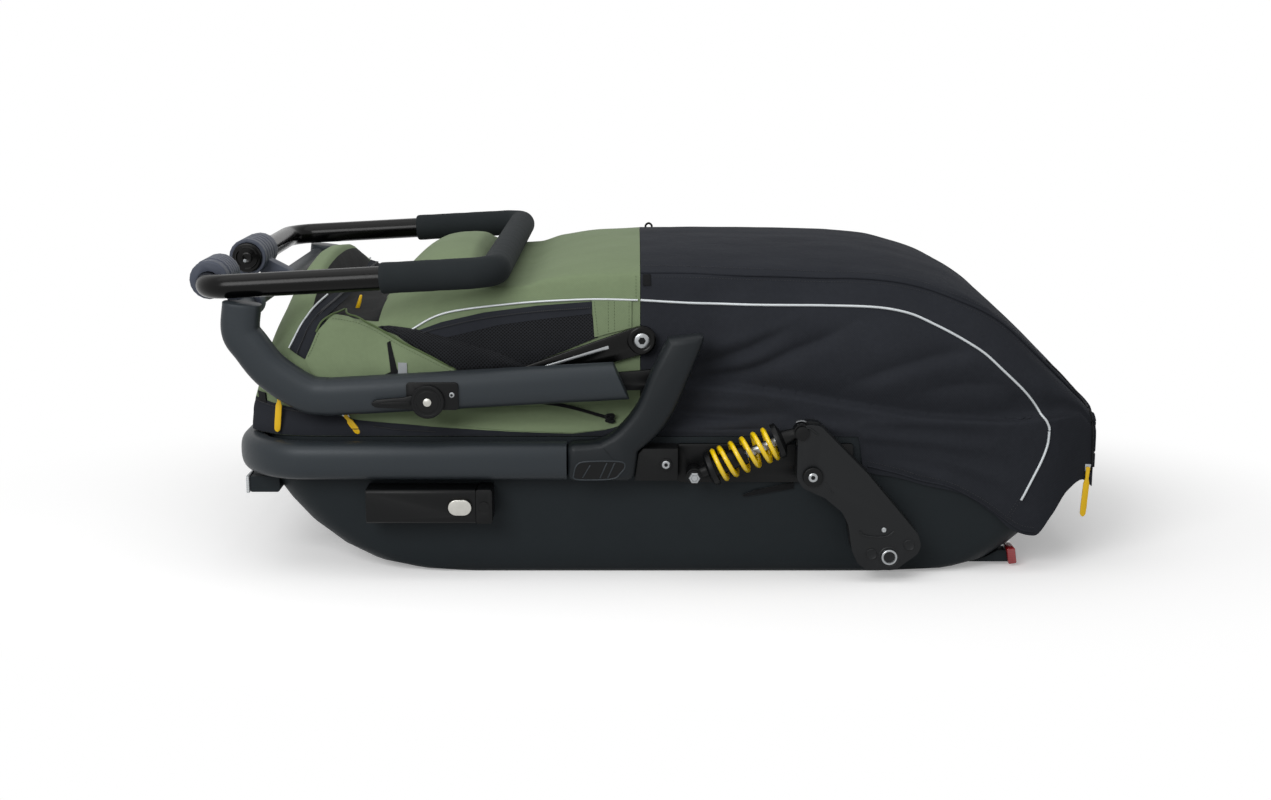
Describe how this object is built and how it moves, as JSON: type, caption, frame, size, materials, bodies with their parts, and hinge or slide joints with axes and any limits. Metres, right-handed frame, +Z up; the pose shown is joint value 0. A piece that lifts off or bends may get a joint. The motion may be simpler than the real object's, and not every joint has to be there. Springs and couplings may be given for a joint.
{
  "type": "dog bike trailer",
  "caption": "Folded bike trailer for a dog: moulded tub, folding hoop frame, push bar, sprung swingarms, drawbar socket, soft green and black covers.",
  "frame": {"origin": "under the middle of the bounding box, on the plane the tub stands on", "axes": "+X from the push bar's joints and the drawbar end to the sloping end, +Z up, -Y to the side with the drawbar socket"},
  "size_m": [1.063, 0.6226, 0.3763],
  "materials": {
    "tub_plastic": "matte",
    "frame_paint": "satin",
    "black_plastic": "satin",
    "gloss_black": "gloss",
    "foam": "matte",
    "mat_foam": "matte",
    "steel": "satin",
    "grey_plastic": "satin",
    "green_fabric": "matte",
    "black_fabric": "matte",
    "spring_yellow": "gloss",
    "pull_yellow": "matte",
    "reflector_white": "gloss",
    "reflector_red": "gloss"
  },
  "bodies": {
    "base": {"tub_shell": "tub_plastic", "floor_mat": "mat_foam", "base_frame_tube": "frame_paint", "corner_post_left": "frame_paint", "corner_post_right": "frame_paint", "post_foot_left": "black_plastic", "post_foot_right": "black_plastic", "hinge_pin_left": "steel", "hinge_pin_right": "steel", "suspension_bar_left": "black_plastic", "suspension_bar_right": "black_plastic", "swingarm_bolt_left": "steel", "swingarm_bolt_right": "steel", "shock_front_bolt_left": "steel", "shock_front_bolt_right": "steel", "drawbar_socket": "black_plastic", "socket_end": "grey_plastic", "front_reflector": "reflector_white", "rear_reflector": "reflector_red", "stay_hub_left": "gloss_black", "stay_hub_right": "gloss_black", "cover_bow": "gloss_black", "front_cover": "green_fabric", "rear_cover": "black_fabric", "elastic_cord": "black_fabric"},
    "hoop": {"hoop_rail_left": "frame_paint", "hoop_rail_right": "frame_paint", "hoop_cross_tube": "frame_paint", "hinge_arm_left": "black_plastic", "hinge_arm_right": "black_plastic", "lock_plate_left": "black_plastic", "lock_plate_right": "black_plastic", "bar_housing_left": "grey_plastic", "bar_housing_right": "grey_plastic"},
    "handlebar": {"push_bar": "gloss_black", "grip_foam": "foam", "bar_collar_left": "grey_plastic", "bar_collar_right": "grey_plastic"},
    "bar_button_l": {"bar_button_left": "gloss_black"},
    "bar_button_r": {"bar_button_right": "gloss_black"},
    "lock_lever_l": {"lock_lever_left": "black_plastic"},
    "lock_lever_r": {"lock_lever_right": "black_plastic"},
    "stay_l": {"stay_left": "gloss_black"},
    "stay_r": {"stay_right": "gloss_black"},
    "swingarm_l": {"swingarm_left": "black_plastic", "axle_bush_left": "steel", "shock_rear_bolt_left": "steel"},
    "swingarm_r": {"swingarm_right": "black_plastic", "axle_bush_right": "steel", "shock_rear_bolt_right": "steel"},
    "shock_l": {"shock_body_left": "black_plastic", "shock_spring_left": "spring_yellow"},
    "shock_r": {"shock_body_right": "black_plastic", "shock_spring_right": "spring_yellow"},
    "shock_rod_l": {"shock_rod_left": "black_plastic"},
    "shock_rod_r": {"shock_rod_right": "black_plastic"},
    "hitch_button": {"drawbar_button": "steel"},
    "pull_front": {"zip_pull_front": "pull_yellow"},
    "pull_side": {"zip_pull_side": "pull_yellow"},
    "pull_rear": {"zip_pull_rear": "pull_yellow"}
  },
  "joints": [
    {"name": "frame_fold", "type": "hinge", "parent": "base", "child": "hoop", "pos_m": [0.026, 0, 0.2335], "axis": [0, 1, 0], "range_deg": [0, 107], "deforming": ["front_cover"]},
    {"name": "bar_turn", "type": "hinge", "parent": "hoop", "child": "handlebar", "pos_m": [-0.508, 0, 0.3445], "axis": [0, -1, 0], "range_deg": [0, 160]},
    {"name": "bar_release_left", "type": "slide", "parent": "hoop", "child": "bar_button_l", "axis": [0, -1, 0], "range_m": [0, 0.004], "stiffness_N_per_m": 1500, "springref_m": -0.001},
    {"name": "bar_release_right", "type": "slide", "parent": "hoop", "child": "bar_button_r", "axis": [0, 1, 0], "range_m": [0, 0.004], "stiffness_N_per_m": 1500, "springref_m": -0.001},
    {"name": "lock_left", "type": "hinge", "parent": "hoop", "child": "lock_lever_l", "pos_m": [-0.2499, 0, 0.2154], "axis": [0, 1, 0], "range_deg": [0, 70]},
    {"name": "lock_right", "type": "hinge", "parent": "hoop", "child": "lock_lever_r", "pos_m": [-0.2499, 0, 0.2154], "axis": [0, 1, 0], "range_deg": [0, 70]},
    {"name": "stay_turn_left", "type": "hinge", "parent": "base", "child": "stay_l", "pos_m": [-0.007, 0, 0.277], "axis": [0, 1, 0], "range_deg": [0, 129]},
    {"name": "stay_turn_right", "type": "hinge", "parent": "base", "child": "stay_r", "pos_m": [-0.007, 0, 0.277], "axis": [0, 1, 0], "range_deg": [0, 129]},
    {"name": "arm_travel_left", "type": "hinge", "parent": "base", "child": "swingarm_l", "pos_m": [0.1882, 0, 0.1273], "axis": [0, -1, 0], "range_deg": [0, 18], "stiffness_Nm_per_rad": 40, "springref_deg": -1.15},
    {"name": "arm_travel_right", "type": "hinge", "parent": "base", "child": "swingarm_r", "pos_m": [0.1882, 0, 0.1273], "axis": [0, -1, 0], "range_deg": [0, 18], "stiffness_Nm_per_rad": 40, "springref_deg": -1.15},
    {"name": "shock_swing_left", "type": "hinge", "parent": "base", "child": "shock_l", "pos_m": [0.053, 0, 0.1262], "axis": [0, -1, 0], "range_deg": [0, 0.21]},
    {"name": "shock_swing_right", "type": "hinge", "parent": "base", "child": "shock_r", "pos_m": [0.053, 0, 0.1262], "axis": [0, -1, 0], "range_deg": [0, 0.21]},
    {"name": "shock_stroke_left", "type": "slide", "parent": "shock_l", "child": "shock_rod_l", "axis": [-0.9204, 0, -0.391], "range_m": [0, 0.0165], "deforming": ["shock_spring_left"]},
    {"name": "shock_stroke_right", "type": "slide", "parent": "shock_r", "child": "shock_rod_r", "axis": [-0.9204, 0, -0.391], "range_m": [0, 0.0165], "deforming": ["shock_spring_right"]},
    {"name": "hitch_release", "type": "slide", "parent": "base", "child": "hitch_button", "axis": [0, 1, 0], "range_m": [0, 0.004], "stiffness_N_per_m": 1500, "springref_m": -0.001},
    {"name": "pull_front_swing", "type": "hinge", "parent": "base", "child": "pull_front", "pos_m": [-0.408, -0.2615, 0.201], "axis": [0, -1, 0], "range_deg": [-15, 20]},
    {"name": "pull_side_swing", "type": "hinge", "parent": "base", "child": "pull_side", "pos_m": [-0.3497, -0.2615, 0.1892], "axis": [0, -1, 0], "range_deg": [-10, 30]},
    {"name": "pull_rear_swing", "type": "hinge", "parent": "base", "child": "pull_rear", "pos_m": [0.5225, -0.2246, 0.1171], "axis": [0, -1, 0], "range_deg": [0, 25]}
  ],
  "couplings": [
    {"joint": "stay_turn_left", "follows": "frame_fold", "ratio": 1.2},
    {"joint": "stay_turn_right", "follows": "frame_fold", "ratio": 1.2},
    {"joint": "shock_swing_left", "follows": "arm_travel_left", "ratio": 0.0111},
    {"joint": "shock_swing_right", "follows": "arm_travel_right", "ratio": 0.0111},
    {"joint": "shock_stroke_left", "follows": "arm_travel_left", "m_per_rad": 0.05227},
    {"joint": "shock_stroke_right", "follows": "arm_travel_right", "m_per_rad": 0.05227}
  ]
}
